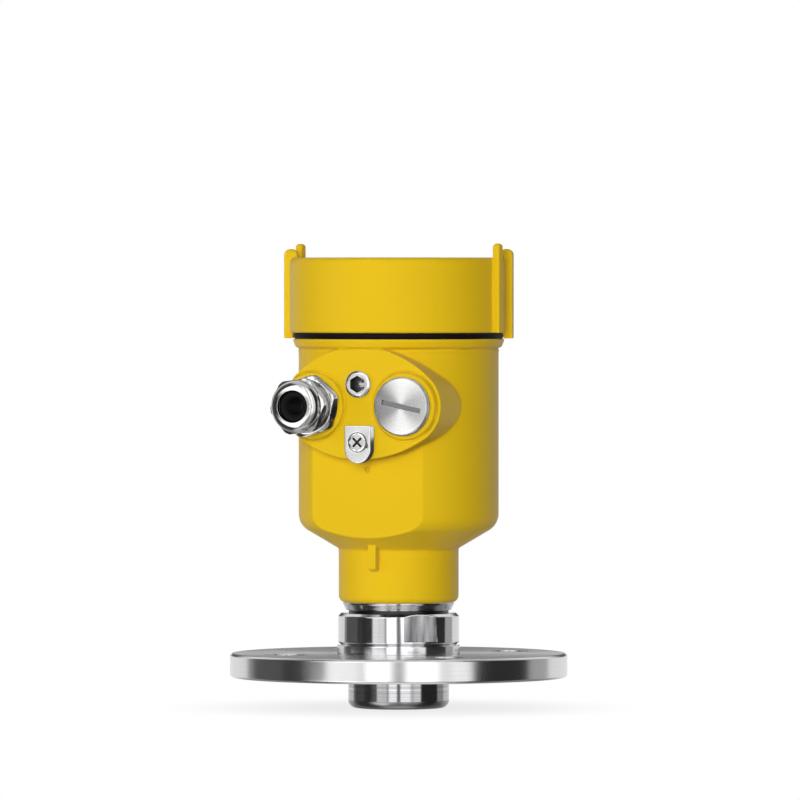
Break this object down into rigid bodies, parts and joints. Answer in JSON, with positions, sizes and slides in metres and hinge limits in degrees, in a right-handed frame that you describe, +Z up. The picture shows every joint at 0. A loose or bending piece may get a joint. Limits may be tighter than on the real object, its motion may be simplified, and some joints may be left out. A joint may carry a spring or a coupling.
{
  "type": "radar level transmitter",
  "caption": "Flanged radar level transmitter: cast housing with screw lid, cable gland and blanking plug, swivelling on a threaded fitting with a short antenna stub.",
  "frame": {"origin": "centre of the flange's lower sealing face", "axes": "+Z up along the instrument's axis, -Y towards the side with the cable entries, +X towards the blanking plug's side"},
  "size_m": [0.14, 0.14, 0.1927],
  "materials": {
    "stainless_brushed": "fine turned, bright",
    "stainless_polished": "polished turned",
    "ptfe": "smooth white",
    "black_rubber": "matt",
    "brass": "turned",
    "module_metal": "bead blasted",
    "yellow_paint": "powder coat, satin, yellow",
    "zinc_steel": "plated",
    "black_cable": "matt",
    "dark_plastic": "moulded",
    "board_green": "solder resist",
    "grey_plastic": "moulded",
    "gold_contact": "plated",
    "nickel": "nickel-plated brass"
  },
  "bodies": {
    "process": {"flange": "stainless_brushed", "process_fitting": "stainless_polished", "antenna_lens": "ptfe", "antenna_seal": "black_rubber", "waveguide": "brass", "radar_module": "module_metal", "neck_seal": "black_rubber"},
    "housing": {"housing": "yellow_paint", "neck_lock_screw": "zinc_steel", "signal_lead": "black_cable", "electronics_cup": "dark_plastic", "circuit_board": "board_green", "module_cover": "dark_plastic", "module_screws": "zinc_steel", "terminal_block": "grey_plastic", "terminal_screws": "zinc_steel", "contact_pins": "gold_contact", "inner_ground_clamp": "zinc_steel", "inner_ground_screw": "zinc_steel", "gland_seal": "black_rubber", "gland_body": "nickel", "ground_base": "nickel"},
    "gland_insert": {"gland_insert": "black_rubber"},
    "gland_nut": {"gland_nut": "nickel"},
    "plug_seal": {"plug_seal": "black_rubber"},
    "blanking_plug": {"blanking_plug": "nickel"},
    "vent_seal": {"vent_seal": "black_rubber"},
    "vent_plug": {"vent_plug": "nickel"},
    "ground_clamp": {"ground_clamp": "nickel"},
    "ground_screw": {"ground_screw": "nickel"},
    "lid_seal": {"lid_seal": "black_rubber"},
    "lid": {"lid": "yellow_paint"}
  },
  "joints": [
    {"name": "housing_swivel", "type": "hinge", "parent": "process", "child": "housing", "pos_m": [0, 0, 0.04], "axis": [0, 0, 1], "range_deg": [-165, 165]},
    {"name": "lid_travel", "type": "slide", "parent": "housing", "child": "lid_seal", "axis": [0, 0, 1], "range_m": [0, 0.016]},
    {"name": "lid_turn", "type": "hinge", "parent": "lid_seal", "child": "lid", "pos_m": [0, 0, 0.15], "axis": [0, 0, 1], "range_deg": [0, 2880]},
    {"name": "gland_nut_travel", "type": "slide", "parent": "housing", "child": "gland_insert", "axis": [0, -1, 0], "range_m": [0, 0.0045]},
    {"name": "gland_nut_turn", "type": "hinge", "parent": "gland_insert", "child": "gland_nut", "pos_m": [-0.0205, -0.055, 0.113], "axis": [0, -1, 0], "range_deg": [0, 1080]},
    {"name": "blanking_plug_travel", "type": "slide", "parent": "housing", "child": "plug_seal", "axis": [0, -1, 0], "range_m": [0, 0.009]},
    {"name": "blanking_plug_turn", "type": "hinge", "parent": "plug_seal", "child": "blanking_plug", "pos_m": [0.0205, -0.042, 0.113], "axis": [0, -1, 0], "range_deg": [0, 2160]},
    {"name": "vent_plug_travel", "type": "slide", "parent": "housing", "child": "vent_seal", "axis": [0, -1, 0], "range_m": [0, 0.009]},
    {"name": "vent_plug_turn", "type": "hinge", "parent": "vent_seal", "child": "vent_plug", "pos_m": [0, -0.042, 0.122], "axis": [0, -1, 0], "range_deg": [0, 2160]},
    {"name": "ground_screw_travel", "type": "slide", "parent": "housing", "child": "ground_clamp", "axis": [0, -1, 0], "range_m": [0, 0.0028]},
    {"name": "ground_screw_turn", "type": "hinge", "parent": "ground_clamp", "child": "ground_screw", "pos_m": [0.0016, -0.042, 0.0982], "axis": [0, -1, 0], "range_deg": [0, 1440]}
  ],
  "couplings": [
    {"joint": "lid_travel", "follows": "lid_turn", "m_per_rad": 0.00031831},
    {"joint": "gland_nut_turn", "follows": "gland_nut_travel", "rad_per_m": 4188.8},
    {"joint": "blanking_plug_turn", "follows": "blanking_plug_travel", "rad_per_m": 4188.8},
    {"joint": "vent_plug_turn", "follows": "vent_plug_travel", "rad_per_m": 4188.8},
    {"joint": "ground_screw_turn", "follows": "ground_screw_travel", "rad_per_m": 8976}
  ]
}
